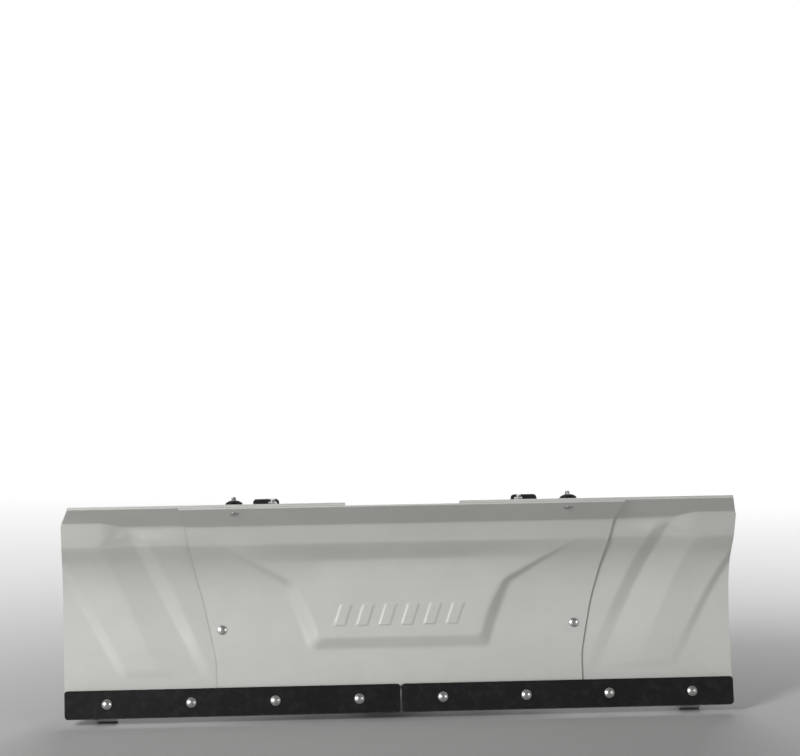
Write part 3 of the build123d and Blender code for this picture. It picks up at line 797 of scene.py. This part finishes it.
def springPath(top, foot):
    # hook, close coils, hook, in metres
    along = (foot - top).normalized()
    across = Vector((1, 0, 0))
    out = along.cross(across).normalized()
    length = (foot - top).length
    body = spring["turns"] * 2 * (spring["wire"] + spring["gap"]) * mm
    start = top + along * (length - body) / 2
    points = []
    hook = spring["hookRadius"] * mm
    for i in range(spring["hookSteps"] + 1):
        angle = math.radians(-60 + i * 300 / spring["hookSteps"])
        points.append(top + out * (hook * math.sin(angle)) - along * (hook * math.cos(angle)) * 0.9)
    coil = spring["coilRadius"] * mm
    steps = spring["turns"] * spring["stepsPerTurn"]
    for i in range(steps + 1):
        turn = 2 * math.pi * i / spring["stepsPerTurn"]
        radial = out * math.cos(turn) + across * math.sin(turn)
        points.append(start + along * (body * i / steps) + radial * coil)
    for i in range(spring["hookSteps"] + 1):
        angle = math.radians(-120 - i * 300 / spring["hookSteps"])
        points.append(foot + out * (hook * math.sin(-angle)) - along * (hook * math.cos(angle)) * 0.9)
    return points


def makeSprings():
    for side in ("left", "right"):
        node = side + "_trip_spring"
        low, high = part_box(node)
        eyeLow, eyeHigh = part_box(side + "_eyebolt")
        pegLow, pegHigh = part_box(side + "_spring_peg")
        x = (low.x + high.x) / 2
        top = Vector((x, (eyeLow.y + eyeHigh.y) / 2, eyeLow.z + spring["eyeSeat"] * mm))
        foot = Vector((x, (pegLow.y + pegHigh.y) / 2, (pegLow.z + pegHigh.z) / 2))
        piece = tubeAlong(side + "TripSpring", springPath(top, foot), spring["wire"] * mm, 8)
        piece.data.materials.clear()
        piece.data.materials.append(looks["spring_steel"])
        smooth(piece, 60)
        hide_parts(node)
        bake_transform(piece)


makeSprings()
print("springs made")

weld = {
    "radius": 2.2,
    "ripple": 1.5,      # length of one ripple
    "depth": 0.22,      # of a ripple, as a share of the radius
    "inset": 0.4,
    "ribCount": 5,      # short beads up each end rib
    "ribFoot": 95.0,
    "ribPitch": 55.0,
    "ribLength": 18.0,
}


def beadAlong(name, start, end, body, look):
    # a rippled fillet along a joint, from start to end in metres
    start, end = Vector(start), Vector(end)
    length = (end - start).length
    count = max(6, int(length / (weld["ripple"] * mm) * 4))
    data = bpy.data.curves.new(name, "CURVE")
    data.dimensions = "3D"
    data.bevel_depth = weld["radius"] * mm
    data.bevel_resolution = 2
    data.use_fill_caps = True
    spline = data.splines.new("POLY")
    spline.points.add(count)
    for i, point in enumerate(spline.points):
        point.co = (*start.lerp(end, i / count), 1)
        taper = clamp(min(i, count - i) / 4 + 0.5)
        point.radius = (1 - weld["depth"] * abs(math.sin(math.pi * i / 4))) * taper
    piece = bpy.data.objects.new(name, data)
    bpy.context.scene.collection.objects.link(piece)
    only(piece)
    bpy.ops.object.convert(target="MESH")
    return finish(smooth(bpy.context.object, 50), body, look)


def makeWelds():
    inset = weld["inset"] * mm
    for node, body in (("lower_channel", "blade"), ("upper_channel", "blade"), ("head_crossbar", "head"),
                       ("head_tie", "head")):
        low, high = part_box(node)
        for side, x in (("Left", low.x + inset), ("Right", high.x - inset)):
            stem = "weld" + node.title().replace("_", "") + side
            corner = (x, high.y, high.z)
            beadAlong(stem + "Top", (x, low.y + 0.002, high.z), corner, body, "frame_paint")
            beadAlong(stem + "Rear", (x, high.y, low.z), corner, body, "frame_paint")
    channelLow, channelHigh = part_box("upper_channel")
    lowerLow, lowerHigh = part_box("lower_channel")
    tieLow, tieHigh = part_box("head_tie")
    for side in ("left", "right"):
        low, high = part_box(side + "_spring_bracket")
        for end, x in (("Inner", low.x), ("Outer", high.x)):
            start, stop = ((x, channelLow.y + run, channelHigh.z) for run in (0.003, 0.03))
            beadAlong("weldBracket" + side.title() + end, start, stop, "blade", "frame_paint")
        low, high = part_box(side + "_trip_lugs")
        for end, x in (("Inner", low.x), ("Outer", high.x)):
            start, stop = ((x, lowerHigh.y, z) for z in (lowerLow.z + 0.002, lowerHigh.z - 0.002))
            beadAlong("weldLug" + side.title() + end, start, stop, "blade", "frame_paint")
        low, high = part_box(side + "_shoe_socket")
        ribLow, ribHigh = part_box(side + "_end_rib")
        for end, z in (("Top", mix(low.z, high.z, 0.9)), ("Foot", mix(low.z, high.z, 0.12))):
            y = (waistY - forwardAt(z / mm) + board["sheet"]) * mm
            beadAlong("weldSocket" + side.title() + end, (low.x, y, z), (high.x, y, z), side + "_wing",
                      "panel_paint")
        x = ribHigh.x if side == "left" else ribLow.x
        for row in range(weld["ribCount"]):
            points = []
            foot = weld["ribFoot"] + row * weld["ribPitch"]
            for z in (foot, foot + weld["ribLength"]):
                f, up, lean = onProfile(alongAt(z), -board["sheet"])
                points.append(place(x / mm, f, up))
            beadAlong(f"weldEndRib{side.title()}{row}", *points, side + "_wing", "panel_paint")
    for node in ("upper_swivel_plate", "lower_swivel_plate"):
        z = tieHigh.z if node.startswith("upper") else tieLow.z
        beadAlong("weld" + node.title().replace("_", ""), (-0.055, tieHigh.y, z), (0.055, tieHigh.y, z), "head",
                  "frame_paint")


makeWelds()
print("welds made")

thread = {
    "clampBolt": {"radius": 4.0, "length": 8.0, "pitch": 1.25},
    "eyebolt": {"radius": 4.0, "length": 5.0, "pitch": 1.25},
    "barBolt": {"radius": 5.0, "length": 5.0, "pitch": 1.5},
    "sides": 18,            # straight runs in one turn
    "endGap": 0.8,          # plain end of the bolt
    "sink": 0.15,           # how deep the ridge's middle lies in the bolt
    "ridge": 0.42,
}


def threadOn(name, end, axis, kind, body):
    # a helical ridge on the last stretch of a bolt, back from its end
    bolt = thread[kind]
    axis = Vector(axis).normalized()
    side = axis.orthogonal().normalized()
    other = axis.cross(side)
    steps = thread["sides"]
    count = int(bolt["length"] / bolt["pitch"] * steps)
    ring = (bolt["radius"] - thread["sink"]) * mm
    points = []
    for i in range(count + 1):
        angle = 2 * math.pi * i / steps
        back = thread["endGap"] + i / steps * bolt["pitch"]
        points.append(Vector(end) - axis * back * mm + (side * math.cos(angle) + other * math.sin(angle)) * ring)
    piece = tubeAlong(name, points, thread["ridge"] * mm, 4)
    return finish(smooth(piece, 60), body, "zinc")


def makeThreads():
    clampRadius, barRadius = thread["clampBolt"]["radius"] * mm, thread["barBolt"]["radius"] * mm
    for joint in frame["joints"]:
        if "knob" not in joint["name"]:
            continue
        centrePoint, axis = Vector(joint["pos_m"]), Vector(joint["axis"])
        low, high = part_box("face_bolts" if "face" in joint["name"] else "lip_bolts")
        if "face" in joint["name"]:
            reach = (high.y - centrePoint.y - clampRadius * abs(axis.z)) / axis.y
        else:
            reach = (high.z - centrePoint.z - clampRadius * axis.y) / axis.z
        threadOn(joint["name"] + "Thread", centrePoint + axis * reach, axis, "clampBolt", "blade")
    lean = math.radians(board["lowLean"])
    for side in ("left", "right"):
        low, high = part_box(side + "_eyebolt")
        end = ((low.x + high.x) / 2, (low.y + high.y) / 2, high.z)
        threadOn(side + "EyeboltThread", end, (0, 0, 1), "eyebolt", "blade")
        low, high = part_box(side + "_wear_bar_bolts")
        headRadius = 0.0095
        for i in range(4):
            x = mix(low.x + headRadius, high.x - headRadius, i / 3)
            end = (x, high.y - barRadius * math.sin(lean), low.z + barRadius * math.cos(lean))
            threadOn(f"{side}BarBoltThread{i}", end, (0, math.cos(lean), -math.sin(lean)), "barBolt",
                     side + "_wing")


makeThreads()
print("threads made")

studio = {
    "floorSize": 120.0,
    "camera": {"x": -0.45408, "y": -6.23687, "z": 1.6, "yaw": 4.243, "pitch": 8.984, "roll": -0.297,
               "lens": 156.4},
    "lights": {     # where each stands, where it points, its size and its power
        "keyLight": ((-2.9, -2.9, 2.1), (-0.1, 0, 0.25), (1.2, 1.0), 134.0),
        "fillLight": ((2.9, -2.9, 1.7), (0.2, 0, 0.25), (1.5, 1.2), 25.0),
        "backLight": ((0.6, 3.2, 2.6), (0, 0, 0.2), (2.5, 1.6), 75.0),
    },
    "world": 0.2,
    "nearFloor": 0.4,        # painted shadow: darker floor colour under and in front of the blade
    "farFloor": 0.9,
    "floorGlow": 0.62,       # light of the floor round the blade
    "backdropGlow": 0.3,     # and what the far floor adds
}


def makeStage():
    bpy.ops.mesh.primitive_plane_add(size=studio["floorSize"], location=(0, 0, 0))
    floor = added("studioFloor")
    look, tree, shader, vector = startLook("paleFloor")
    # painted shadow: the floor colour darkens in a pool within 0.7 m of a point 0.9 m in front of the blade, and
    # is fully pale again by 2.4 m
    inFront = addNode(tree, "VectorMath", [(0, vector), (1, (0, 0.9, 0))], operation="ADD").outputs[0]
    fromFront = addNode(tree, "VectorMath", [(0, inFront)], operation="LENGTH").outputs["Value"]
    away = addNode(tree, "VectorMath", [(0, vector)], operation="LENGTH").outputs["Value"]
    far = ramp(tree, fromFront, 0.7, 2.4)
    near, light = ((studio[k],) * 3 + (1,) for k in ("nearFloor", "farFloor"))
    shade = colourMix(tree, far, near, light)
    mottled = colourMix(tree, noise(tree, vector, 1.4, 3.0), (0.97, 0.97, 0.97, 1), (1, 1, 1, 1))
    shade = addNode(tree, "VectorMath", [(0, shade), (1, mottled)], operation="MULTIPLY").outputs[0]
    tree.links.new(shade, shader.inputs["Base Color"])
    shader.inputs["Emission Color"].default_value = (1, 1, 1, 1)
    # painted light: the floor glows more the farther it lies from the blade, though it is no lamp
    glow = plus(tree, times(tree, ramp(tree, away, 0.9, 4.0), studio["floorGlow"]),
                times(tree, ramp(tree, away, 2.5, 6.5), studio["backdropGlow"]))
    tree.links.new(glow, shader.inputs["Emission Strength"])
    shader.inputs["Roughness"].default_value = 0.9
    floor.data.materials.append(look)
    world = bpy.data.worlds.new("studioWorld")
    bpy.context.scene.world = world
    world.use_nodes = True
    world.node_tree.nodes["Background"].inputs["Color"].default_value = (1, 1, 1, 1)
    world.node_tree.nodes["Background"].inputs["Strength"].default_value = studio["world"]


def areaLight(name, location, target, size, power):
    data = bpy.data.lights.new(name, "AREA")
    data.shape = "RECTANGLE"
    data.size, data.size_y = size
    data.energy = power
    light = bpy.data.objects.new(name, data)
    light.location = location
    light.rotation_euler = (Vector(target) - Vector(location)).to_track_quat("-Z", "Y").to_euler()
    bpy.context.scene.collection.objects.link(light)


def makeCamera():
    c = studio["camera"]
    yaw, pitch, roll = (math.radians(c[k]) for k in ("yaw", "pitch", "roll"))
    ahead = Vector((math.sin(yaw) * math.cos(pitch), math.cos(yaw) * math.cos(pitch), -math.sin(pitch)))
    right = ahead.cross(Vector((0, 0, 1))).normalized()
    up = right.cross(ahead)
    right, up = (right * math.cos(roll) + up * math.sin(roll), up * math.cos(roll) - right * math.sin(roll))
    data = bpy.data.cameras.new("studioCamera")
    data.lens = c["lens"]
    data.sensor_width = 36.0
    data.clip_end = 200.0
    camera = bpy.data.objects.new("studioCamera", data)
    camera.matrix_world = Matrix((
        (right.x, up.x, -ahead.x, c["x"]),
        (right.y, up.y, -ahead.y, c["y"]),
        (right.z, up.z, -ahead.z, c["z"]),
        (0, 0, 0, 1),
    ))
    bpy.context.scene.collection.objects.link(camera)
    bpy.context.scene.camera = camera


makeStage()
for lightName, settings in studio["lights"].items():
    areaLight(lightName, *settings)
makeCamera()
bpy.context.scene.view_settings.view_transform = "Standard"
print("stage made,", len(finished), "pieces")
